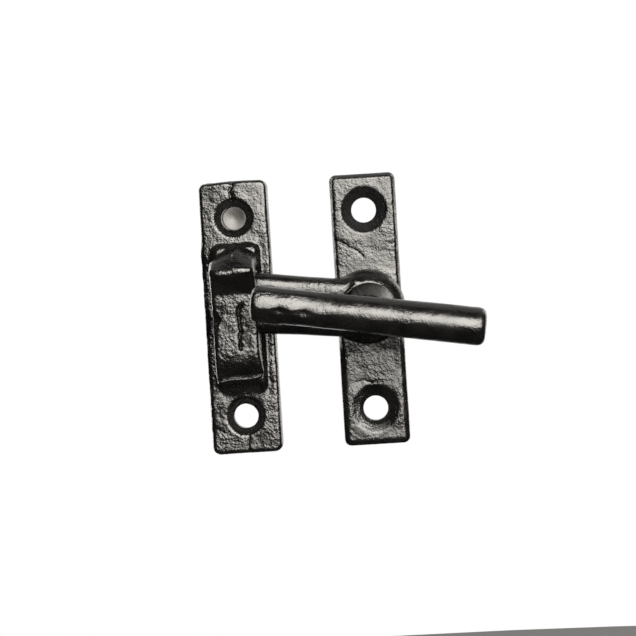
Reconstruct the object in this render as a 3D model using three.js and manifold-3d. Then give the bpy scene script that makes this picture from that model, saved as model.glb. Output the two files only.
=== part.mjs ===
// T-bar turn fastener for a casement window, with its separate hook keep, in black-lacquered cast iron.
//
// Millimetres. +Z is up, -Y is the front, and the backs of both plates lie on the plane Y = 0, which is
// the face of the joinery. The origin is on the spindle's axis. The fastener is modelled locked: its
// tongue lies behind the strap of the keep and against the keep's root. "Depth" is the distance in front
// of the joinery, so a depth of 4 is Y = -4.

import * as THREE from 'three';
import { mergeVertices } from 'three/addons/utils/BufferGeometryUtils.js';
import Module from 'manifold-3d';

const wasm = await Module();
wasm.setup();

// ---- Driving dimensions ----

const PLATE_DEPTH = 4.0;
const PLATE_GAP = 11.9;            // clear joinery between the two plates
const SCREW_SPACING = 38.1;        // between the two screw holes of either plate
const SCREW_HOLE_R = 2.38;         // clearance for a No. 8 wood screw
const CLEAR = 0.3;                 // between pieces that are cast and lie on each other
const WASHER_CLEAR = 0.12;         // between the pieces of the washer stack
const OVERRUN = 1;                 // how far a cutter reaches past the piece that it cuts

const handlePlate = { width: 12.65, height: 52.1, corner: 1.3, edge: 0.9, edgeDepth: 1.5, sinkR: 4.4 };
const keepPlate = { width: 13.5, height: 52.4, corner: 1.3, edge: 0.45, edgeDepth: 0.6, sinkR: 3.75 };
const KEEP_X = -(handlePlate.width / 2 + PLATE_GAP + keepPlate.width / 2);

// The keep's hook is rooted at the top, opens at the bottom, and is open to the left and to the right.
const hook = {
  width: 9.6,
  edge: 0.35,
  padDepth: 5.0,                   // floor that the tongue slides over
  padEdge: 0.4,
  padTop: 14.2,
  padBottom: -14.6,
  padEndRound: 3.2,                // corners of the pad's lower end
  slotDepth: 9.9,                  // back of the strap
  slotTop: 9.2,                    // the root's lower face, which stops the tongue
  slotRound: 0.9,
  strapDepth: 12.7,
  strapTop: 4.5,
  strapBottom: -7.2,
  noseDepth: 15.2,
  noseZ: 9.3,
  noseFall: 2.2,                   // how far the nose keeps its depth below its middle
  browZ: 12.6,
  browRise: 0.5,                   // bow of the surface from the pad to the brow
  tipZ: -12.1,
  tipThick: 0.9,
  tipFlare: 0.4,                   // lead-in for the tongue
  tipFlareLength: 1.5,
};

// The tongue is a casting of its own: a round hub on the spindle and a flat arm that reaches the keep.
const tongue = {
  tilt: 6.8,                       // degrees that the arm rises towards its tip
  rise: 0.05,                      // the casting sits this much high on the spindle
  hubR: 7.1,
  hubBack: PLATE_DEPTH + 0.75,
  hubFront: 8.2,
  armBack: 5.4,
  armFront: 9.4,
  rootHalf: 5.35,                  // half the arm's width at the hub
  tipHalf: 5.85,                   // and at its tip
  reach: 24.4,
  tipCorner: 2.2,
  edge: 1.0,
};

const grip = {
  tilt: 9.4,                       // degrees that the bar's right-hand end drops
  drop: 0.45,                      // the bar's axis passes this much below the spindle's
  length: 42.8,
  depth: 25.0,                     // of the bar's axis
  leftR: 3.25,
  rightR: 3.5,
  endRound: 1.5,
};
const stem = { footR: 5.3, footHeight: 0.8, coneR: 4.7, coneHeight: 2.4, waistR: 3.2, waistDepth: 17.5 };

const spindle = {
  square: 4.0,                     // across the flats, through the tongue and into the stem
  frontDepth: 16.2,
  journalR: 2.5,
  journalGap: 0.03,                // from the journal's shoulder to the back of the tongue's hub
  shoulder: 0.06,                  // the drive square's corners start this far behind the journal's front
  tailSquare: 3.0,
  headR: 2.9,
  headHeight: 0.6,
  headEndR: 1.75,                  // flat middle of the riveted end
  headChamfer: 0.2,
};
const boreR = spindle.journalR + 0.15;
const recess = { r: 5.0, depth: 2.6 };  // in the back of the handle plate, for the spring and the riveted end
const washerR = 4.6;
const rearWasherThick = 0.7;
const springThick = 0.4;
const springEyeR = boreR + 0.2;
const frictionWasherR = 5.4;

const ROUND = 48;                  // facets of a full circle
const CORNER = 5;                  // facets of a quarter circle
const EASED = 3;                   // facets of an eased edge

// ---- Materials ----

const material = (name, color, roughness, metalness) => (
  new THREE.MeshStandardMaterial({ name, color, roughness, metalness })
);
const plateLacquer = material('plate_lacquer', 0x161617, 0.34, 0.1);
const gripLacquer = material('grip_lacquer', 0x141415, 0.26, 0.1);
const zincSteel = material('zinc_steel', 0x8b8d90, 0.42, 1);

// ---- Solids ----

// Closed three.js geometry as a solid that can be joined and cut.
function solid(geometry) {
  const bare = geometry.clone();
  bare.deleteAttribute('normal');
  bare.deleteAttribute('uv');
  const welded = mergeVertices(bare, 1e-4);
  const corners = welded.index.array;
  const triangles = [];
  for (let i = 0; i < corners.length; i += 3) {
    const [a, b, c] = [corners[i], corners[i + 1], corners[i + 2]];
    if (a !== b && b !== c && c !== a) triangles.push(a, b, c);
  }
  return new wasm.Manifold(new wasm.Mesh({
    numProp: 3,
    vertProperties: new Float32Array(welded.attributes.position.array),
    triVerts: new Uint32Array(triangles),
  }));
}

function namedMesh(name, shape, material) {
  const { vertProperties, triVerts } = shape.getMesh();
  const geometry = new THREE.BufferGeometry();
  geometry.setAttribute('position', new THREE.BufferAttribute(new Float32Array(vertProperties), 3));
  geometry.setIndex(new THREE.BufferAttribute(new Uint32Array(triVerts), 1));
  geometry.computeVertexNormals();
  const mesh = new THREE.Mesh(geometry, material);
  mesh.name = name;
  return mesh;
}

// An outline drawn in X and Z, given thickness between two depths. Its edges are eased at both ends.
function slab(outline, back, front, edge = 0, edgeDepth = edge) {
  const geometry = new THREE.ExtrudeGeometry(outline, {
    depth: front - back - 2 * edgeDepth,
    bevelEnabled: edge > 0,
    bevelThickness: edgeDepth,
    bevelSize: edge,
    bevelOffset: -edge,
    bevelSegments: EASED,
    curveSegments: CORNER,
  });
  geometry.translate(0, 0, back + edgeDepth);
  return solid(geometry.rotateX(Math.PI / 2));
}

function block(x0, x1, back, front, z0, z1) {
  const geometry = new THREE.BoxGeometry(x1 - x0, front - back, z1 - z0);
  return solid(geometry.translate((x0 + x1) / 2, -(back + front) / 2, (z0 + z1) / 2));
}

// A square bar along the spindle's axis.
const squareBar = (side, back, front) => block(-side / 2, side / 2, back, front, -side / 2, side / 2);

// A solid turned about the spindle's axis. Its profile is a list of [radius, depth], front end first.
function turned(profile, facets = ROUND) {
  const points = profile.map(([radius, depth]) => new THREE.Vector2(radius, -depth));
  return solid(new THREE.LatheGeometry(points, facets));
}

const disc = (r, back, front) => turned([[0, front], [r, front], [r, back], [0, back]]);

// Points of a quarter circle in a profile, from angle a to angle b in degrees, about [radius, depth].
function arc(radius, depth, r, a, b, steps = CORNER) {
  return Array.from({ length: steps + 1 }, (_, i) => {
    const angle = THREE.MathUtils.degToRad(a + (b - a) * i / steps);
    return [radius + r * Math.cos(angle), depth + r * Math.sin(angle)];
  });
}

function roundedRectangle(width, z0, z1, corner, bottomCorner = corner) {
  const x = width / 2;
  const shape = new THREE.Shape();
  shape.moveTo(-x + bottomCorner, z0);
  shape.lineTo(x - bottomCorner, z0);
  shape.absarc(x - bottomCorner, z0 + bottomCorner, bottomCorner, -Math.PI / 2, 0);
  shape.lineTo(x, z1 - corner);
  shape.absarc(x - corner, z1 - corner, corner, 0, Math.PI / 2);
  shape.lineTo(-x + corner, z1);
  shape.absarc(-x + corner, z1 - corner, corner, Math.PI / 2, Math.PI);
  shape.lineTo(-x, z0 + bottomCorner);
  shape.absarc(-x + bottomCorner, z0 + bottomCorner, bottomCorner, Math.PI, Math.PI * 1.5);
  return shape;
}

// ---- Plates ----

// A screw hole with a 90 degree countersink, as the solid that is cut away.
function screwHole(sinkR) {
  const front = PLATE_DEPTH + OVERRUN;
  const back = -OVERRUN;
  const sinkDepth = PLATE_DEPTH - (sinkR - SCREW_HOLE_R);
  return turned([
    [0, front], [sinkR, front], [sinkR, PLATE_DEPTH],
    [SCREW_HOLE_R, sinkDepth], [SCREW_HOLE_R, back], [0, back],
  ]);
}

// A plate with two screw holes. Only its front edges are eased: the back ones are cut off flat.
function screwPlate({ width, height, corner, edge, edgeDepth, sinkR }) {
  const outline = roundedRectangle(width, -height / 2, height / 2, corner);
  let plate = slab(outline, -edgeDepth, PLATE_DEPTH, edge, edgeDepth);
  plate = plate.subtract(block(-width, width, -2 * edgeDepth, 0, -height, height));
  for (const side of [-1, 1]) {
    plate = plate.subtract(screwHole(sinkR).translate(0, 0, side * SCREW_SPACING / 2));
  }
  return plate;
}

function makeHandlePlate() {
  const bore = disc(boreR, -OVERRUN, PLATE_DEPTH + OVERRUN);
  const spindleRecess = disc(recess.r, -OVERRUN, recess.depth);
  const plate = screwPlate(handlePlate).subtract(bore).subtract(spindleRecess);
  return namedMesh('handle_plate', plate, plateLacquer);
}

// Side outline of the hook, as [depth, Z], drawn from its root over the nose and down the strap to the tip.
function hookOutline() {
  const { browZ, browRise, noseDepth, noseZ, strapDepth, slotDepth, slotTop, slotRound, tipZ } = hook;
  const inside = (PLATE_DEPTH + hook.padDepth) / 2;
  const browDepth = strapDepth - browRise;
  const tipBack = slotDepth + hook.tipFlare;
  const tipFront = tipBack + hook.tipThick;
  const shape = new THREE.Shape();
  shape.moveTo(inside, slotTop);
  shape.lineTo(inside, hook.padTop - hook.edge);
  shape.quadraticCurveTo(hook.padDepth + hook.edge, browZ + browRise, browDepth, browZ);
  shape.quadraticCurveTo(noseDepth - browRise, browZ - browRise, noseDepth, noseZ);
  shape.quadraticCurveTo(noseDepth, noseZ - hook.noseFall, strapDepth, hook.strapTop);
  shape.lineTo(strapDepth, hook.strapBottom);
  shape.quadraticCurveTo(strapDepth, tipZ + hook.tipThick, tipFront, tipZ);
  shape.lineTo(tipBack, tipZ);
  shape.lineTo(slotDepth, tipZ + hook.tipFlareLength);
  shape.lineTo(slotDepth, slotTop - slotRound);
  shape.absarc(slotDepth - slotRound, slotTop - slotRound, slotRound, 0, Math.PI / 2);
  shape.closePath();
  return shape;
}

// The side outline is swept along X, with its edges eased.
function makeHook() {
  const geometry = new THREE.ExtrudeGeometry(hookOutline(), {
    depth: hook.width - 2 * hook.edge,
    bevelThickness: hook.edge,
    bevelSize: hook.edge,
    bevelOffset: -hook.edge,
    bevelSegments: EASED,
    curveSegments: CORNER,
  });
  geometry.translate(0, 0, -hook.width / 2 + hook.edge);
  return solid(geometry.rotateX(Math.PI / 2).rotateZ(-Math.PI / 2));
}

function makeKeep() {
  const { width, padBottom, padTop, padEndRound, padEdge, padDepth } = hook;
  const padOutline = roundedRectangle(width + padEdge, padBottom, padTop, keepPlate.corner, padEndRound);
  const pad = slab(padOutline, PLATE_DEPTH / 2, padDepth, padEdge);
  const keep = namedMesh('hook_keep', screwPlate(keepPlate).add(pad).add(makeHook()), plateLacquer);
  keep.position.x = KEEP_X;
  return keep;
}

// ---- Handle: tongue, T-bar and the spindle that joins them ----

function armOutline() {
  const { rootHalf, tipHalf, reach, tipCorner } = tongue;
  const shape = new THREE.Shape();
  shape.moveTo(0, -rootHalf);
  shape.lineTo(0, rootHalf);
  shape.lineTo(-reach + tipCorner, tipHalf);
  shape.absarc(-reach + tipCorner, tipHalf - tipCorner, tipCorner, Math.PI / 2, Math.PI);
  shape.absarc(-reach + tipCorner, -tipHalf + tipCorner, tipCorner, Math.PI, Math.PI * 1.5);
  shape.closePath();
  return shape;
}

function makeTongue() {
  const { hubR, hubBack, hubFront, edge } = tongue;
  const hub = turned([
    [0, hubFront], ...arc(hubR - edge, hubFront - edge, edge, 90, 0), [hubR, hubBack], [0, hubBack],
  ]);
  const arm = slab(armOutline(), tongue.armBack, tongue.armFront, edge);
  const casting = hub.add(arm).translate(0, 0, tongue.rise);
  const overStem = disc(stem.footR + CLEAR, hubFront, tongue.armFront + OVERRUN);
  const socket = squareBar(spindle.square + 2 * CLEAR, hubBack - OVERRUN, hubFront + OVERRUN);
  const mesh = namedMesh('latch_tongue', casting.subtract(overStem).subtract(socket), gripLacquer);
  mesh.rotation.y = THREE.MathUtils.degToRad(tongue.tilt);
  return mesh;
}

// The grip bar thickens evenly from its left-hand end to its right-hand end.
function makeBar() {
  const { length, leftR, rightR, endRound } = grip;
  const profile = [
    [0, -length / 2],
    ...arc(rightR - endRound, -length / 2 + endRound, endRound, -90, 0),
    ...arc(leftR - endRound, length / 2 - endRound, endRound, 0, 90),
    [0, length / 2],
  ];
  const points = profile.map(([radius, along]) => new THREE.Vector2(radius, along));
  const bar = new THREE.LatheGeometry(points, ROUND / 2);
  return solid(bar.rotateZ(Math.PI / 2).translate(0, -grip.depth, -grip.drop));
}

function makeTBar() {
  const foot = tongue.hubFront + CLEAR;
  const stemSolid = turned([
    [0, grip.depth], [stem.waistR, grip.depth], [stem.waistR, stem.waistDepth],
    [stem.coneR, foot + stem.coneHeight], [stem.footR, foot + stem.footHeight], [stem.footR, foot], [0, foot],
  ]);
  const socket = squareBar(spindle.square + 2 * CLEAR, foot - OVERRUN, spindle.frontDepth + CLEAR);
  const mesh = namedMesh('t_bar_handle', makeBar().add(stemSolid).subtract(socket), gripLacquer);
  mesh.rotation.y = THREE.MathUtils.degToRad(grip.tilt);
  return mesh;
}

// Depths of the stack in the plate's recess, from the riveted head forwards.
const headBack = WASHER_CLEAR;
const headFront = headBack + spindle.headHeight;
const rearWasherBack = headFront + WASHER_CLEAR;
const rearWasherFront = rearWasherBack + rearWasherThick;
const springBack = rearWasherFront + WASHER_CLEAR;
const springFront = recess.depth - WASHER_CLEAR;

// The spindle is square where it drives the tongue and the T-bar, round where it turns in the plate, and
// square again under the rear washer. Its end is riveted over.
function makeSpindle() {
  const { square, frontDepth, journalR, tailSquare, headR, headEndR, headChamfer } = spindle;
  const journalFront = tongue.hubBack - spindle.journalGap;
  const drive = squareBar(square, journalFront - spindle.shoulder, frontDepth);
  const journal = disc(journalR, springBack, journalFront);
  const tail = squareBar(tailSquare, headFront - WASHER_CLEAR, springBack + WASHER_CLEAR);
  const head = turned([
    [0, headFront], [headR, headFront], [headR, headBack + headChamfer], [headEndR, headBack], [0, headBack],
  ]);
  const mesh = namedMesh('spindle', drive.add(journal).add(tail).add(head), zincSteel);
  mesh.rotation.y = THREE.MathUtils.degToRad(tongue.tilt);
  return mesh;
}

// ---- Washers ----

function makeFrictionWasher() {
  const back = PLATE_DEPTH + WASHER_CLEAR;
  const front = tongue.hubBack - WASHER_CLEAR;
  const ring = disc(frictionWasherR, back, front).subtract(disc(boreR, back - OVERRUN, front + OVERRUN));
  return namedMesh('friction_washer', ring, zincSteel);
}

// A dished ring: its rim bears on the floor of the recess, and its eye on the rear washer.
function makeSpringWasher() {
  const ring = turned([
    [springEyeR, springBack + springThick], [washerR, springFront], [washerR, springFront - springThick],
    [springEyeR, springBack], [springEyeR, springBack + springThick],
  ]);
  return namedMesh('spring_washer', ring, zincSteel);
}

function makeRearWasher() {
  const eyeSquare = spindle.tailSquare + 2 * WASHER_CLEAR;
  const eye = squareBar(eyeSquare, rearWasherBack - OVERRUN, rearWasherFront + OVERRUN);
  const ring = disc(washerR, rearWasherBack, rearWasherFront).subtract(eye);
  const mesh = namedMesh('rear_washer', ring, zincSteel);
  mesh.rotation.y = THREE.MathUtils.degToRad(tongue.tilt);
  return mesh;
}

// ---- Assembly ----

const fixed = new THREE.Group();
fixed.add(makeHandlePlate(), makeKeep(), makeFrictionWasher(), makeSpringWasher());

const turning = new THREE.Group();
turning.add(makeTBar(), makeTongue(), makeSpindle(), makeRearWasher());

const fastener = new THREE.Group();
fastener.add(fixed, turning);

export default fastener;
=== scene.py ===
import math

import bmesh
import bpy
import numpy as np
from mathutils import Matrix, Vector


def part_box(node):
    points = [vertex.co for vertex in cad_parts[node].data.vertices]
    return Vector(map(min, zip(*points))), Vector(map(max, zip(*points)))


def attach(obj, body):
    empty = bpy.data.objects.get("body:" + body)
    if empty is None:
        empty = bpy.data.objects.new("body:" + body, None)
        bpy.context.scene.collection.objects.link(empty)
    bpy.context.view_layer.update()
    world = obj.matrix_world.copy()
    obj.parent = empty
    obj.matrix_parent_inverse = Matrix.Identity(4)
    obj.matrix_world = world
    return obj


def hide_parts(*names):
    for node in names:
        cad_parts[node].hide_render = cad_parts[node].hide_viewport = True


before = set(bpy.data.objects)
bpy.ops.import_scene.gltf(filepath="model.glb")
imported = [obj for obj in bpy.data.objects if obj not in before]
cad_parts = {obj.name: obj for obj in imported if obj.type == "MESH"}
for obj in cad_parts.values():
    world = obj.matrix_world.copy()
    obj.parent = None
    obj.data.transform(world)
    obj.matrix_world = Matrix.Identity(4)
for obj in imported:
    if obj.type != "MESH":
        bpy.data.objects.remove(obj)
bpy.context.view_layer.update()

# A T-bar turn fastener and its hook keep, in black lacquer over rough cast iron.
#
# Each casting is described as a signed distance, in millimetres, from coordinates x (right), d (depth in
# front of the joinery) and z (up). The distance is meshed, its vertices are settled on the true surface,
# and the mesh is scaled to metres. Sizes come from the CAD nodes' boxes wherever a box gives them.

MM = 0.001
PITCH = 0.16          # grid step of a meshed casting
NOISE_BAND = 0.7                         # surface roughness is only worked out this near a surface

SCREW_SPACING = 38.1
SCREW_HOLE_R = 2.38
TONGUE_TILT = 6.8                        # degrees that the tongue rises to the left
BAR_TILT = 9.4                           # degrees that the bar drops to the right


def box_mm(node):
    """A CAD node's box as x, depth and z ranges, in millimetres."""
    low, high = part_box(node)
    return (low.x / MM, high.x / MM), (-high.y / MM, -low.y / MM), (low.z / MM, high.z / MM)


# ---- Distance functions ----

def length(*parts):
    return np.sqrt(sum(p * p for p in parts))


def smooth_min(a, b, k):
    h = np.clip(0.5 + 0.5 * (b - a) / k, 0, 1)
    return b * (1 - h) + a * h - k * h * (1 - h)


def smooth_max(a, b, k):
    return -smooth_min(-a, -b, k)


def smooth_step(a, b, t):
    s = np.clip((t - a) / (b - a), 0, 1)
    return s * s * (3 - 2 * s)


def rounded_rectangle(x, z, half_width, half_height, corner):
    qx = np.abs(x) - half_width + corner
    qz = np.abs(z) - half_height + corner
    return length(np.maximum(qx, 0), np.maximum(qz, 0)) + np.minimum(np.maximum(qx, qz), 0) - corner


def to_segment(u, v, a, b):
    """Distance in a plane from (u, v) to the stretch from a to b."""
    run = (b[0] - a[0], b[1] - a[1])
    t = ((u - a[0]) * run[0] + (v - a[1]) * run[1]) / (run[0] ** 2 + run[1] ** 2)
    t = np.clip(t, 0, 1)
    return length(u - a[0] - t * run[0], v - a[1] - t * run[1])


def to_line(u, v, points):
    return np.minimum.reduce([to_segment(u, v, a, b) for a, b in zip(points, points[1:])])


def inside_outline(u, v, points):
    """Signed distance in a plane to a closed outline, negative inside."""
    closed = points + points[:1]
    inside = np.zeros(np.broadcast(u, v).shape, bool)
    for (ua, va), (ub, vb) in zip(closed, closed[1:]):
        if va == vb:
            continue
        crosses = (va > v) != (vb > v)
        inside ^= crosses & (u < ua + (v - va) * (ub - ua) / (vb - va))
    distance = to_line(u, v, closed)
    return np.where(inside, -distance, distance)


def bezier(*controls, steps=8):
    """Points of a quadratic curve, without its first one."""
    (ax, ay), (bx, by), (cx, cy) = controls
    made = []
    for i in range(1, steps + 1):
        t = i / steps
        s = 1 - t
        made.append((s * s * ax + 2 * s * t * bx + t * t * cx, s * s * ay + 2 * s * t * by + t * t * cy))
    return made


class Noise:
    """Smooth random lumps about one unit across, from -1 to 1, the same on every run."""

    def __init__(self, seed):
        random = np.random.RandomState(seed)
        self.order = random.permutation(256)
        self.order = np.concatenate([self.order, self.order, self.order])
        gradients = random.normal(size=(256, 3))
        self.gradients = gradients / np.linalg.norm(gradients, axis=1)[:, None]

    def __call__(self, x, y, z):
        x, y, z = np.broadcast_arrays(x, y, z)
        cell = [np.floor(c).astype(int) for c in (x, y, z)]
        part = [c - f for c, f in zip((x, y, z), cell)]
        ease = [p * p * p * (p * (p * 6 - 15) + 10) for p in part]
        total = np.zeros(x.shape)
        for i in (0, 1):
            for j in (0, 1):
                for k in (0, 1):
                    a = self.order[(cell[0] + i) & 255]
                    b = self.order[a + ((cell[1] + j) & 255)]
                    g = self.gradients[self.order[b + ((cell[2] + k) & 255)]]
                    dot = g[..., 0] * (part[0] - i) + g[..., 1] * (part[1] - j) + g[..., 2] * (part[2] - k)
                    weight = 1.0
                    for e, corner in zip(ease, (i, j, k)):
                        weight = weight * (e if corner else 1 - e)
                    total += weight * dot
        return total * 1.6


waves = Noise(11)
lumps = Noise(23)
grain = Noise(37)


def cast_roughness(x, d, z, wave=0.10, lump=0.05, fine=0.018):
    """How far a sand-cast and lacquered surface lies under its ideal one: half of it lies over."""
    wavy = waves(x / 8, d / 8, z / 8)
    lumpy = lumps(x / 2.1, d / 2.1, z / 2.1)
    grainy = grain(x / 0.62, d / 0.62, z / 0.62)
    return wave * wavy + lump * lumpy + fine * grainy


# ---- Meshing ----

def surface_nets(f, low, pitch):
    """Vertices and quads of the surface where the grid of distances f is zero."""
    cells = tuple(n - 1 for n in f.shape)
    total = np.zeros(cells + (3,))
    count = np.zeros(cells)
    quads = []
    inside = f < 0
    for axis in range(3):
        b, c = (axis + 1) % 3, (axis + 2) % 3
        first = [slice(None)] * 3
        second = [slice(None)] * 3
        first[axis] = slice(None, -1)
        second[axis] = slice(1, None)
        first, second = tuple(first), tuple(second)
        at = np.argwhere(inside[first] != inside[second])
        f0, f1 = f[first][tuple(at.T)], f[second][tuple(at.T)]
        point = at.astype(float)
        point[:, axis] += f0 / (f0 - f1)
        ring = []
        for db, dc in ((-1, -1), (0, -1), (0, 0), (-1, 0)):
            cell = at.copy()
            cell[:, b] += db
            cell[:, c] += dc
            np.add.at(total, tuple(cell.T), point)
            np.add.at(count, tuple(cell.T), 1)
            ring.append(cell)
        ring = np.stack(ring, 1)
        ring[f0 > 0] = ring[f0 > 0][:, ::-1]
        quads.append(ring)
    used = count > 0
    index = np.full(cells, -1)
    index[used] = np.arange(used.sum())
    vertices = total[used] / count[used][:, None] * pitch + low
    faces = np.concatenate(quads)
    return vertices, index[faces[..., 0], faces[..., 1], faces[..., 2]]


def settle(ideal, roughness, vertices, pitch):
    """Moves vertices onto the surface of a distance function."""
    step = pitch / 4
    for _ in range(3):
        x, d, z = vertices.T
        here = ideal(x, d, z) + roughness(x, d, z)
        slope = np.stack([
            ideal(x + step, d, z) - ideal(x - step, d, z),
            ideal(x, d + step, z) - ideal(x, d - step, z),
            ideal(x, d, z + step) - ideal(x, d, z - step),
        ], 1) / (2 * step)
        move = -here[:, None] * slope / np.maximum((slope ** 2).sum(1), 0.25)[:, None]
        size = np.linalg.norm(move, axis=1)
        limit = pitch / 2
        move *= np.minimum(1, limit / np.maximum(size, 1e-9))[:, None]
        vertices = vertices + move
    return vertices


def casting(name, ideal, roughness, ranges, node=None, turn=0.0, pitch=PITCH):
    """A mesh of a casting. ideal and roughness take x, d and z, and ranges is the box that holds it.
    turn, in degrees, lifts its left-hand side about the spindle's axis once it is made, and where a CAD
    node is given, the casting is then held to that node's box."""
    low = np.array([r[0] - 2 * pitch for r in ranges])
    high = np.array([r[1] + 2 * pitch for r in ranges])
    axes = [np.arange(a, b + pitch, pitch) for a, b in zip(low, high)]
    x, d, z = axes[0][:, None, None], axes[1][None, :, None], axes[2][None, None, :]
    f = np.broadcast_to(ideal(x, d, z), tuple(len(a) for a in axes)).copy()
    near = np.abs(f) < NOISE_BAND
    xs, ds, zs = (np.broadcast_to(c, f.shape)[near] for c in (x, d, z))
    f[near] += roughness(xs, ds, zs)
    vertices, quads = surface_nets(f, low, pitch)
    vertices = settle(ideal, roughness, vertices, pitch)
    angle = math.radians(turn)
    x, d, z = vertices.T
    cos, sin = math.cos(angle), math.sin(angle)
    placed = np.stack([x * cos + z * sin, -d, z * cos - x * sin], 1) * MM
    if node:
        placed = np.clip(placed, *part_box(node))
    mesh = bpy.data.meshes.new(name)
    mesh.from_pydata(placed.tolist(), [], quads[:, ::-1].tolist())
    mesh.validate()
    mesh.shade_smooth()
    piece = bpy.data.objects.new(name, mesh)
    bpy.context.scene.collection.objects.link(piece)
    return piece


# ---- Plates ----

def screw_plate(x, d, z, half_width, half_height, front, corner, edge, edge_depth):
    """A plate with an edge that slopes from its front face to its sides."""
    outline = rounded_rectangle(x, z, half_width, half_height, corner)
    slope = (edge_depth * (outline + edge) + edge * (d - front)) / math.hypot(edge, edge_depth)
    f = smooth_max(smooth_max(outline, d - front, 0.3), slope, 0.4)
    return np.maximum(f, -d)


def screw_hole(x, d, z, height, front, sink_r):
    """A hole with a 90 degree countersink, negative inside."""
    r = length(x, z - height)
    sink_start = front - (sink_r - SCREW_HOLE_R)
    cone = (r - SCREW_HOLE_R - (d - sink_start)) / math.sqrt(2)
    return np.minimum(r - SCREW_HOLE_R, np.maximum(cone, r - sink_r - 0.1))


def cut(f, hole, edge):
    return smooth_max(f, -hole, edge)


def mark(distance, width, depth):
    """A groove, as how far the surface lies under its ideal one."""
    return depth * np.exp(-(distance / width) ** 2)


def raggedness(x, z):
    """How far a crack wanders, in millimetres, and how its depth varies."""
    return 0.16 * grain(x / 0.8, z / 0.8, 3.5), 0.75 + 0.5 * lumps(x / 1.4, z / 1.4, 8.5)


def crack(x, z, ragged, points, width, depth):
    """A ragged V-shaped groove along a line."""
    wander, uneven = ragged
    distance = to_line(x + wander, z + wander, points)
    return depth * uneven * np.exp(-distance / width)


hp_x, hp_d, hp_z = box_mm("handle_plate")
PLATE_FRONT = hp_d[1]
HANDLE_SINK_R = 4.4
HANDLE_EDGE = 0.65
HANDLE_EDGE_DEPTH = 1.15
BORE_R = 2.65
RECESS_R = 5.0
RECESS_DEPTH = 2.6


def handle_plate(x, d, z):
    f = screw_plate(x, d, z, hp_x[1] - 0.03, hp_z[1] - 0.03, PLATE_FRONT - 0.06, 1.3,
                     HANDLE_EDGE, HANDLE_EDGE_DEPTH)
    for side in (-1, 1):
        f = cut(f, screw_hole(x, d, z, side * SCREW_SPACING / 2, PLATE_FRONT, HANDLE_SINK_R), 0.3)
    r = length(x, z)
    return cut(f, np.minimum(r - BORE_R, np.maximum(r - RECESS_R, d - RECESS_DEPTH)), 0.15)


def handle_plate_roughness(x, d, z):
    front = smooth_step(PLATE_FRONT - 1.5, PLATE_FRONT - 0.5, d)
    rough_patch = smooth_step(15.5, 12.0, z) * smooth_step(5.0, 9.0, np.abs(z + 1))
    under_hub = smooth_step(-5.0, -6.5, z) * smooth_step(-10.5, -8.5, z)
    wave = 0.05 + 0.06 * front
    lump = 0.014 + 0.014 * rough_patch + 0.03 * under_hub
    rough = cast_roughness(x, d, z, wave, lump, 0.005 + 0.013 * rough_patch + 0.018 * under_hub)
    torn = [(-5.6, 13.6), (-3.6, 12.4), (-1.9, 11.5), (-0.6, 10.2)]
    nick = [(6.2, 12.6), (4.9, 12.3)]
    above_hole = [(-3.4, -14.0), (-2.0, -13.4), (-0.4, -14.2), (1.0, -13.6)]
    ragged = raggedness(x, z)
    marks = crack(x, z, ragged, torn, 0.22, 0.28) + crack(x, z, ragged, nick, 0.3, 0.2)
    marks = marks + crack(x, z, ragged, above_hole, 0.22, 0.2)
    for size in (5.3, 6.3):
        ripple = mark(length(x + 0.6, z + 19.6) - size, 0.35, 0.05)
        marks = marks + ripple * smooth_step(-18.5, -21.5, z)
    fold = -0.08 * smooth_step(11.8, 13.2, z + 0.25 * x)
    crowned = 0.20 * (z / hp_z[1]) ** 2
    below = 0.42 * smooth_step(-5.0, -9.0, z)
    return (rough + front * (marks + fold + crowned + below)) * smooth_step(0.0, 0.6, d)


# ---- Keep ----

kp_x, kp_d, kp_z = box_mm("hook_keep")
KEEP_X = (kp_x[0] + kp_x[1]) / 2
KEEP_SINK_R = 3.75
NOSE_DEPTH = kp_d[1] - 0.1
PAD_DEPTH = 5.0
PAD_END = -14.6
SLOT_DEPTH = 9.9
SLOT_TOP = 9.2
STRAP_DEPTH = 12.6
NOSE_Z = 9.0
BROW_Z = 12.4
TIP_Z = -12.0
HOOK_LEFT = -4.5
HOOK_RIGHT = 4.1


def hook_outline():
    """The hook from its right-hand side, as (depth, z), from the root over the nose to the tip and back."""
    foot = (PAD_DEPTH - 1.0, 13.6)
    brow = (STRAP_DEPTH - 0.8, BROW_Z)
    nose_top, nose_under = (NOSE_DEPTH - 0.7, NOSE_Z + 1.0), (NOSE_DEPTH - 0.3, NOSE_Z - 0.8)
    under, step = (STRAP_DEPTH + 0.5, 5.7), (STRAP_DEPTH, 4.4)
    fall = (STRAP_DEPTH, -6.2)
    lip, lip_end = (SLOT_DEPTH + 1.1, TIP_Z + 0.8), (SLOT_DEPTH + 1.3, TIP_Z)
    return [
        (PAD_DEPTH - 1.0, SLOT_TOP), foot,
        *bezier(foot, (PAD_DEPTH + 2.5, BROW_Z + 0.4), brow),
        *bezier(brow, (STRAP_DEPTH + 0.2, BROW_Z - 0.2), nose_top),
        *bezier(nose_top, (NOSE_DEPTH + 0.25, NOSE_Z + 0.1), nose_under),
        under,
        *bezier(under, (STRAP_DEPTH, 5.0), step),
        fall,
        *bezier(fall, (STRAP_DEPTH - 0.1, TIP_Z + 3.0), lip),
        *bezier(lip, (SLOT_DEPTH + 2.1, TIP_Z + 0.9), lip_end),
        (SLOT_DEPTH + 0.2, TIP_Z + 0.1),
        (SLOT_DEPTH, TIP_Z + 1.5), (SLOT_DEPTH, SLOT_TOP),
    ]


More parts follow.
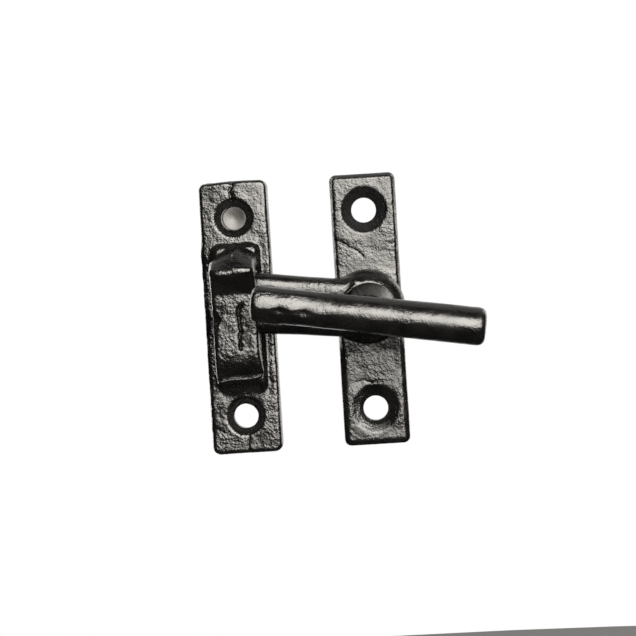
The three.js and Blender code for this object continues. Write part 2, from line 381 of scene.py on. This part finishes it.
def keep(x, d, z):
    x = x - KEEP_X
    half_width = (kp_x[1] - kp_x[0]) / 2
    f = screw_plate(x, d, z, half_width - 0.03, kp_z[1] - 0.03, PLATE_FRONT - 0.06, 1.5, 0.45, 0.6)
    pad_front = PAD_DEPTH - 0.9 * smooth_step(-11.2, PAD_END, z)
    pad = (rounded_rectangle(x, z + 0.2, 4.8, 14.4, 2.0) + 0.9 * (d - PLATE_FRONT)) / math.hypot(1, 0.9)
    pad = np.maximum(smooth_max(pad, d - pad_front, 0.5), PLATE_FRONT - 2.0 - d)
    f = smooth_min(f, pad, 0.3)
    lower_left = 0.35 * smooth_step(0.1, -0.1, x) * smooth_step(3.0, 7.0, z)
    crown = 0.42 * smooth_step(9.0, 12.0, z) * np.maximum(np.abs(x + 0.1) - 0.7, 0)
    nose_fall = 0.08 * smooth_step(5.0, 8.0, z) * np.maximum(np.abs(x + 0.2) - 1.5, 0) ** 2
    lip_bow = 0.5 * (np.clip((-x - 0.5) / 4.0, 0, 1) ** 2 - np.clip((x - 1.5) / 2.6, 0, 1) ** 2)
    lip_bow = lip_bow * smooth_step(-8.5, -11.0, z)
    side = inside_outline(d + nose_fall, z + lower_left + crown + lip_bow, hook_outline())
    flare = 0.5 * smooth_step(-6.0, -11.0, z)
    width = np.maximum(HOOK_LEFT - x, x - HOOK_RIGHT - flare)
    hook = smooth_max(side, width, 1.1)
    facet = 1.75 - np.where(z > 0.1, 0.65, 0.42) * np.abs(z - 0.1)
    facet = (HOOK_LEFT - x + d - STRAP_DEPTH + facet) / math.sqrt(2)
    hook = np.maximum(hook, facet)
    f = smooth_min(f, hook, 0.6)
    for end in (-1, 1):
        f = cut(f, screw_hole(x, d, z, end * SCREW_SPACING / 2, PLATE_FRONT, KEEP_SINK_R), 0.3)
    return f


SEAM = [(1.1, 2.3), (0.6, 1.9), (0.45, 0.6), (0.6, -1.4), (0.75, -2.6), (0.45, -3.2), (0.5, -5.8)]
TOP_CRACK = [(-0.3, 26.5), (0.1, 25.2), (-0.5, 24.3), (-0.2, 22.6)]
END_CRACK = [(0.5, -22.4), (0.2, -24.0), (0.3, -26.5)]


def keep_roughness(x, d, z):
    x = x - KEEP_X
    on_hook = smooth_step(PAD_DEPTH + 1, PAD_DEPTH + 3, d)
    face = on_hook * smooth_step(-8.2, -6.4, z) * smooth_step(5.4, 4.4, z)
    strips = (1 - on_hook) * smooth_step(3.8, 4.8, np.abs(x)) * smooth_step(17.0, 12.0, z)
    foot_end = (1 - on_hook) * smooth_step(-13.0, -17.0, z)
    rough_patch = np.clip(0.8 * face + strips + 0.5 * foot_end, 0, 1)
    smooth_corner = smooth_step(12.0, 16.0, z) * smooth_step(0.0, -1.5, x)
    wave = 0.08 + 0.10 * smooth_corner
    lump = 0.022 * (1 - smooth_corner) + 0.03 * rough_patch
    rough = cast_roughness(x + 40, d, z, wave, lump, 0.014 * (1 - smooth_corner) + 0.026 * rough_patch)
    ragged = raggedness(x, z)
    on_front = smooth_step(PLATE_FRONT - 1.5, PLATE_FRONT - 0.5, d)
    rough = rough + face * crack(x, z, ragged, SEAM, 0.18, 0.9)
    rough = rough + on_front * crack(x, z, ragged, TOP_CRACK, 0.40, 0.45)
    rough = rough + on_front * crack(x, z, ragged, END_CRACK, 0.16, 0.3)
    nose = on_hook * smooth_step(6.8, 7.6, z) * smooth_step(10.4, 9.6, z) * mark(x + 0.1, 0.18, 0.14)
    lean = 0.11 * (np.clip(-4.8 - x, 0, 1.6) + np.clip(6.4 - x, 0, 1.6) * smooth_step(4.0, 4.8, x))
    strip_lean = lean * (1 - on_hook) * on_front * smooth_step(6.75, 6.3, np.abs(x))
    strip_lean = strip_lean * smooth_step(17.0, 13.0, np.abs(z))
    corner_lean = smooth_corner * 0.05 * -x
    return (rough + nose + strip_lean + corner_lean) * smooth_step(0.0, 0.6, d)


def hole_skin(x, d, z):
    """Lacquer bridging the upper screw hole, thin in the middle and thick where it clings to the wall."""
    r = length(x - KEEP_X, z - SCREW_SPACING / 2)
    sag = 0.25 * smooth_step(0, 1, r / SCREW_HOLE_R)
    return smooth_max(np.maximum(r - SCREW_HOLE_R - 0.02, 0.5 - d), d - 0.75 - sag, 0.2)


def skin_roughness(x, d, z):
    return cast_roughness(x, d, z, 0.05, 0.03, 0.0)


# ---- Tongue ----

tg_d = box_mm("latch_tongue")[1]
TONGUE_RISE = 0.05
HUB_R = 7.25
HUB_X = -0.4                             # the hub is cast a little off the spindle's axis
HUB_Z = 0.5
HUB_BACK = tg_d[0] + 0.01
HUB_FRONT = 8.2
HUB_SLOPE = 0.6
ARM_BACK = 5.4
ARM_FRONT = tg_d[1] - 0.06
ARM_REACH = 24.35
ROOT_HALF = 5.37
TIP_HALF = 5.82
DRIVE_HALF = 2.3
STEM_R = 5.3


def tongue(x, d, z):
    z = z - TONGUE_RISE
    r = length(x - HUB_X, z - HUB_Z)
    sloped = (HUB_SLOPE * (r - STEM_R + 0.7) + d - HUB_FRONT) / math.hypot(HUB_SLOPE, 1)
    hub = smooth_max(smooth_max(r - HUB_R, sloped, 2.4), d - HUB_FRONT, 0.3)
    half = ROOT_HALF + (TIP_HALF - ROOT_HALF) * np.clip(-x / ARM_REACH, 0, 1)
    plan = smooth_max(np.abs(z) - half, -x - ARM_REACH, 2.6)
    arm = smooth_max(np.maximum(plan, x + 3.5), d - ARM_FRONT, 2.6)
    arm = smooth_max(arm, ARM_BACK - d, 0.6)
    f = smooth_min(np.maximum(hub, HUB_BACK - d), arm, 1.6)
    z = z + TONGUE_RISE
    stem_room = np.maximum(length(x, z) - 5.6, HUB_FRONT - 0.05 - d)
    f = cut(f, stem_room, 0.2)
    return cut(f, np.maximum(np.abs(x), np.abs(z)) - DRIVE_HALF, 0.1)


def tongue_roughness(x, d, z):
    return cast_roughness(x, d + 30, z, 0.09, 0.02, 0.003) * smooth_step(HUB_BACK, HUB_BACK + 0.6, d)


# ---- T-bar ----

tb_d = box_mm("t_bar_handle")[1]
BAR_DEPTH = 25.0
BAR_DROP = 0.5
BAR_HALF = 21.4
BAR_LEFT_R = 3.28
BAR_RIGHT_R = 3.5
BAR_WAIST = 0.12
BAR_FLAT = 0.34                          # the left-hand end is hammered flat by this much
BAR_FLAT_TILT = 15
STEM_FOOT = tb_d[0] + 0.01
STEM_WAIST_R = 3.2
STEM_CONE = 9.5
STEM_FLARE = 0.2
STEM_SOCKET = 16.5
RIPPLE = 0.58                            # from one hammer ripple to the next, along the bar


def t_bar(x, d, z):
    along = (x + BAR_HALF) / (2 * BAR_HALF)
    radius = BAR_LEFT_R + (BAR_RIGHT_R - BAR_LEFT_R) * along - BAR_WAIST * np.exp(-((x + 6) / 9) ** 2)
    across = length(d - BAR_DEPTH, z + BAR_DROP)
    bar = smooth_max(across - radius, np.abs(x) - BAR_HALF + 0.05, 1.7)
    r = length(x, z)
    rise = np.clip((d - STEM_FOOT) / STEM_CONE, 0, 1)
    cone = STEM_WAIST_R + (STEM_R - STEM_WAIST_R) * (1 - rise) ** 2.2
    cone = cone + STEM_FLARE * np.exp(-np.maximum(d - STEM_FOOT, 0) / STEM_FLARE)
    stem = np.maximum(smooth_max(r - cone, STEM_FOOT - d, 0.5), d - BAR_DEPTH + 1.5)
    f = smooth_min(bar, stem, 0.9)
    socket = np.maximum(np.maximum(np.abs(x), np.abs(z)) - DRIVE_HALF, d - STEM_SOCKET)
    return cut(f, socket, 0.1)


def dent(x, d, z, centre, size, depth):
    spread = sum(((p - c) / s) ** 2 for p, c, s in zip((x, d, z), centre, size))
    return depth * np.exp(-spread)


def t_bar_roughness(x, d, z):
    hammer = lumps(x / 6.0 + 7, d / 3.5, z / 3.5)
    long_wave = waves(x / 14 + 3, d / 12, z / 12)
    edge = smooth_step(17, 10, np.abs(x - 1.5)) * smooth_step(0.0, 2.0, d - BAR_DEPTH)
    uneven = 0.6 + 0.6 * lumps(x / 2.5, d / 2.5, z / 2.5 + 4)
    ripple = np.sin((x + 0.7 * z) * 2 * math.pi / RIPPLE + 2 * uneven) * edge * uneven
    rough = 0.07 * hammer + 0.08 * long_wave + 0.026 * ripple + 0.018 * lumps(x / 1.3, d / 1.3, z / 1.3)
    towards = math.radians(BAR_FLAT_TILT)
    proud = (d - BAR_DEPTH) * math.cos(towards) + (z + BAR_DROP) * math.sin(towards) - BAR_LEFT_R + BAR_FLAT
    rough = rough + 0.9 * smooth_step(-5.0, -12.0, x) * np.maximum(proud, 0)
    for at in (-15.8, -11.6):
        rough = rough + dent(x, d, z, (at, BAR_DEPTH + 3.0, -1.2), (1.5, 2.0, 0.8), 0.30)
    return rough * smooth_step(STEM_FOOT, STEM_FOOT + 0.6, d)


# ---- Steel ----

def washer(name, inner, outer, back, front, square_eye=False, dish=0.0):
    across = (-outer, outer)

    def ideal(x, d, z):
        r = length(x, z)
        lean = d + dish * (r - inner) / (outer - inner)
        eye = np.maximum(np.abs(x), np.abs(z)) if square_eye else r
        f = smooth_max(r - outer, np.maximum(back - lean, lean - front), 0.15)
        return cut(f, eye - inner, 0.1)

    def stamped(x, d, z):
        return 0.01 * (1 + lumps(x / 1.2, d / 1.2, z / 1.2))

    return casting(name, ideal, stamped, [across, (back - 1, front + 1), across], pitch=PITCH * 0.6)


def spindle(x, d, z):
    flats = np.maximum(np.abs(x), np.abs(z))
    drive = smooth_max(flats - 2.0, np.maximum(4.66 - d, d - 16.2), 0.2)
    journal = np.maximum(length(x, z) - 2.5, np.maximum(1.64 - d, d - 4.72))
    tail = np.maximum(flats - 1.5, np.maximum(0.6 - d, d - 1.7))
    dome = length(x, d - 4.7, z) - 4.58
    head = smooth_max(np.maximum(length(x, z) - 2.88, d - 0.71), dome, 0.3)
    return np.minimum(np.minimum(drive, journal), np.minimum(tail, head))


def peened(x, d, z):
    dents = lumps(x / 0.9, d / 0.9, z / 0.9)
    return 0.05 * (1 + dents) * smooth_step(0.75, 0.5, d) + 0.004


# ---- Materials ----

def node_material(name):
    material = bpy.data.materials.new(name)
    material.use_nodes = True
    nodes, links = material.node_tree.nodes, material.node_tree.links
    return material, nodes, links, nodes["Principled BSDF"]


def noise_node(nodes, links, place, scale, detail=3.0, roughness=0.5):
    node = nodes.new("ShaderNodeTexNoise")
    node.inputs["Scale"].default_value = scale
    node.inputs["Detail"].default_value = detail
    node.inputs["Roughness"].default_value = roughness
    links.new(place, node.inputs["Vector"])
    return node.outputs["Fac"]


def ramp_node(nodes, links, value, low, high, to_low, to_high):
    node = nodes.new("ShaderNodeMapRange")
    node.inputs["From Min"].default_value = low
    node.inputs["From Max"].default_value = high
    node.inputs["To Min"].default_value = to_low
    node.inputs["To Max"].default_value = to_high
    links.new(value, node.inputs["Value"])
    return node.outputs["Result"]


def product_node(nodes, links, first, second):
    node = nodes.new("ShaderNodeMath")
    node.operation = "MULTIPLY"
    links.new(first, node.inputs[0])
    links.new(second, node.inputs[1])
    return node.outputs["Value"]


def bump_node(nodes, links, height, distance, strength, under=None):
    node = nodes.new("ShaderNodeBump")
    node.inputs["Distance"].default_value = distance
    node.inputs["Strength"].default_value = strength
    links.new(height, node.inputs["Height"])
    if under is not None:
        links.new(under, node.inputs["Normal"])
    return node.outputs["Normal"]


LACQUER_DARK = (0.0012, 0.0012, 0.0013, 1)
LACQUER_PALE = (0.0032, 0.0029, 0.0025, 1)
SKIN_DARK = (0.016, 0.015, 0.013, 1)
SKIN_PALE = (0.045, 0.042, 0.037, 1)


def lacquer(name, grain_size, grain_height, gloss_low, gloss_high, dark=LACQUER_DARK, pale=LACQUER_PALE):
    """Black stoving lacquer: orange peel, with duller and glossier patches."""
    material, nodes, links, shader = node_material(name)
    place = nodes.new("ShaderNodeTexCoord").outputs["Object"]
    peel = noise_node(nodes, links, place, 1 / grain_size, 2.0)
    broad = noise_node(nodes, links, place, 1 / (grain_size * 3), 2.0)
    patches = noise_node(nodes, links, place, 1 / 0.004, 3.0)
    tint = nodes.new("ShaderNodeValToRGB")
    tint.color_ramp.elements[0].position = 0.35
    tint.color_ramp.elements[0].color = dark
    tint.color_ramp.elements[1].position = 0.7
    tint.color_ramp.elements[1].color = pale
    links.new(patches, tint.inputs["Fac"])
    links.new(tint.outputs["Color"], shader.inputs["Base Color"])
    links.new(ramp_node(nodes, links, patches, 0.3, 0.7, gloss_low, gloss_high), shader.inputs["Roughness"])
    smoothed = noise_node(nodes, links, place, 1 / 0.006, 1.0)
    amount = ramp_node(nodes, links, smoothed, 0.38, 0.58, 0.35, 1.0)
    coarse = bump_node(nodes, links, product_node(nodes, links, broad, amount), grain_height * 2, 0.6)
    fine = bump_node(nodes, links, product_node(nodes, links, peel, amount), grain_height, 0.8, coarse)
    links.new(fine, shader.inputs["Normal"])
    shader.inputs["IOR"].default_value = 1.55
    return material


def steel(name):
    material, nodes, links, shader = node_material(name)
    place = nodes.new("ShaderNodeTexCoord").outputs["Object"]
    cloud = noise_node(nodes, links, place, 1 / 0.0015, 4.0)
    scratch = noise_node(nodes, links, place, 1 / 0.0004, 2.0)
    tint = nodes.new("ShaderNodeValToRGB")
    tint.color_ramp.elements[0].position = 0.3
    tint.color_ramp.elements[0].color = (0.30, 0.30, 0.31, 1)
    tint.color_ramp.elements[1].position = 0.75
    tint.color_ramp.elements[1].color = (0.55, 0.55, 0.54, 1)
    links.new(cloud, tint.inputs["Fac"])
    links.new(tint.outputs["Color"], shader.inputs["Base Color"])
    links.new(ramp_node(nodes, links, cloud, 0.3, 0.7, 0.32, 0.5), shader.inputs["Roughness"])
    links.new(bump_node(nodes, links, scratch, 0.00004, 0.5), shader.inputs["Normal"])
    shader.inputs["Metallic"].default_value = 1.0
    return material


# ---- Camera, light and floor ----

CAMERA_AZIMUTH = 2.2
CAMERA_ELEVATION = 1.5
CAMERA_DISTANCE = 0.380
CAMERA_ROLL = -3.6
VIEW_WIDTH = 0.123
AIM = Vector((-0.0101, 0, -0.00114))


def direction(azimuth, elevation):
    a, e = math.radians(azimuth), math.radians(elevation)
    return Vector((math.sin(a) * math.cos(e), -math.cos(a) * math.cos(e), math.sin(e)))


def make_camera():
    data = bpy.data.cameras.new("camera")
    camera = bpy.data.objects.new("camera", data)
    bpy.context.scene.collection.objects.link(camera)
    back = direction(CAMERA_AZIMUTH, CAMERA_ELEVATION)
    turn = (-back).to_track_quat("-Z", "Y").to_matrix().to_4x4()
    roll = Matrix.Rotation(math.radians(CAMERA_ROLL), 4, "Z")
    camera.matrix_world = Matrix.Translation(AIM + back * CAMERA_DISTANCE) @ turn @ roll
    data.sensor_width = 36
    data.lens = data.sensor_width * CAMERA_DISTANCE / VIEW_WIDTH
    data.clip_start = 0.01
    bpy.context.scene.camera = camera


def make_softbox(name, azimuth, elevation, distance, width, height, radiance):
    data = bpy.data.lights.new(name, "AREA")
    data.shape = "RECTANGLE"
    data.size = width
    data.size_y = height
    data.energy = radiance * math.pi * width * height
    data.color = (1.0, 0.965, 0.90)
    light = bpy.data.objects.new(name, data)
    out = direction(azimuth, elevation)
    light.location = out * distance
    light.rotation_euler = (-out).to_track_quat("-Z", "Y").to_euler()
    bpy.context.scene.collection.objects.link(light)


def make_world():
    """Pale to look at. What the lacquer mirrors is dim, and bright only straight behind the object."""
    world = bpy.data.worlds.new("studio")
    world.use_nodes = True
    nodes, links = world.node_tree.nodes, world.node_tree.links
    seen = nodes["Background"]
    seen.inputs["Color"].default_value = (1, 1, 1, 1)
    mirrored = nodes.new("ShaderNodeBackground")
    place = nodes.new("ShaderNodeTexCoord").outputs["Generated"]
    split = nodes.new("ShaderNodeSeparateXYZ")
    links.new(place, split.inputs["Vector"])
    strength = ramp_node(nodes, links, split.outputs["Y"], 0.76, 0.97, 0.04, 1.5)
    links.new(strength, mirrored.inputs["Strength"])
    path = nodes.new("ShaderNodeLightPath")
    mix = nodes.new("ShaderNodeMixShader")
    links.new(path.outputs["Is Camera Ray"], mix.inputs["Fac"])
    links.new(mirrored.outputs["Background"], mix.inputs[1])
    links.new(seen.outputs["Background"], mix.inputs[2])
    links.new(mix.outputs["Shader"], nodes["World Output"].inputs["Surface"])
    bpy.context.scene.world = world
    bpy.context.scene.view_settings.view_transform = "Standard"


FLOOR_R = 1.5
FLOOR_DROP = 0.35


def make_floor():
    mesh = bpy.data.meshes.new("floor")
    build = bmesh.new()
    bmesh.ops.create_circle(build, cap_ends=True, segments=96, radius=FLOOR_R)
    build.to_mesh(mesh)
    build.free()
    floor = bpy.data.objects.new("floor", mesh)
    floor.location.z = -FLOOR_DROP
    floor.visible_glossy = False
    material, nodes, links, shader = node_material("pale_floor")
    shader.inputs["Base Color"].default_value = (0.85, 0.85, 0.85, 1)
    shader.inputs["Roughness"].default_value = 0.8
    mesh.materials.append(material)
    bpy.context.scene.collection.objects.link(floor)


# ---- Assembly ----

def fit_piece(piece, body, material, slot, *nodes):
    piece.data.materials.append(material)
    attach(piece, body)
    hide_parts(*nodes)


def build():
    plate_lacquer = lacquer("plate_lacquer", 0.00040, 0.00016, 0.20, 0.36)
    keep_lacquer = lacquer("keep_lacquer", 0.00040, 0.00013, 0.15, 0.28)
    grip_lacquer = lacquer("grip_lacquer", 0.00036, 0.00010, 0.17, 0.30)
    skin_lacquer = lacquer("skin_lacquer", 0.00090, 0.00004, 0.28, 0.40, SKIN_DARK, SKIN_PALE)
    zinc = steel("zinc_steel")
    span = (-8.5, 8.5)

    piece = casting("handle_plate_casting", handle_plate, handle_plate_roughness,
                    [hp_x, hp_d, hp_z], "handle_plate")
    fit_piece(piece, "plates", plate_lacquer, "plate_lacquer", "handle_plate")
    piece = casting("keep_casting", keep, keep_roughness, [kp_x, kp_d, kp_z], "hook_keep")
    fit_piece(piece, "plates", keep_lacquer, "plate_lacquer", "hook_keep")
    top = SCREW_SPACING / 2
    piece = casting("hole_skin", hole_skin, skin_roughness,
                    [(KEEP_X - 2.5, KEEP_X + 2.5), (0.3, 1.2), (top - 2.5, top + 2.5)], pitch=PITCH * 0.7)
    piece.data.materials.append(skin_lacquer)
    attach(piece, "plates")
    piece = casting("tongue_casting", tongue, tongue_roughness,
                    [(-ARM_REACH, HUB_R), (HUB_BACK, ARM_FRONT), span], "latch_tongue", TONGUE_TILT)
    fit_piece(piece, "handle", grip_lacquer, "grip_lacquer", "latch_tongue")
    piece = casting("t_bar_casting", t_bar, t_bar_roughness,
                    [(-BAR_HALF, BAR_HALF), (STEM_FOOT, BAR_DEPTH + BAR_RIGHT_R), (-5.5, 5.5)],
                    "t_bar_handle", BAR_TILT)
    fit_piece(piece, "handle", grip_lacquer, "grip_lacquer", "t_bar_handle")

    piece = casting("spindle_steel", spindle, peened, [(-3, 3), (0, 16.3), (-3, 3)], "spindle", TONGUE_TILT)
    fit_piece(piece, "handle", zinc, "zinc_steel", "spindle")
    ring = washer("friction_washer_ring", inner=BORE_R, outer=5.4, back=4.12, front=4.63)
    fit_piece(ring, "plates", zinc, "zinc_steel", "friction_washer")
    ring = washer("spring_washer_ring", inner=2.85, outer=4.6, back=2.08, front=2.48, dish=-0.4)
    fit_piece(ring, "plates", zinc, "zinc_steel", "spring_washer")
    ring = washer("rear_washer_ring", inner=1.62, outer=4.6, back=0.84, front=1.54, square_eye=True)
    fit_piece(ring, "handle", zinc, "zinc_steel", "rear_washer")


make_camera()
make_world()
make_floor()
# Azimuth and elevation in degrees, distance, width and height in metres, and radiance.
make_softbox("key", 7, 22, 0.8, 0.80, 0.46, 7.0)
make_softbox("fill", 20, 17, 0.85, 0.78, 0.86, 9.0)
make_softbox("right_strip", 138, 12, 0.8, 0.24, 0.8, 3.5)
make_softbox("left_strip", -138, 10, 0.8, 0.24, 0.8, 4.5)
make_softbox("overhead", 180, 62, 0.9, 1.6, 1.0, 0.55)
build()
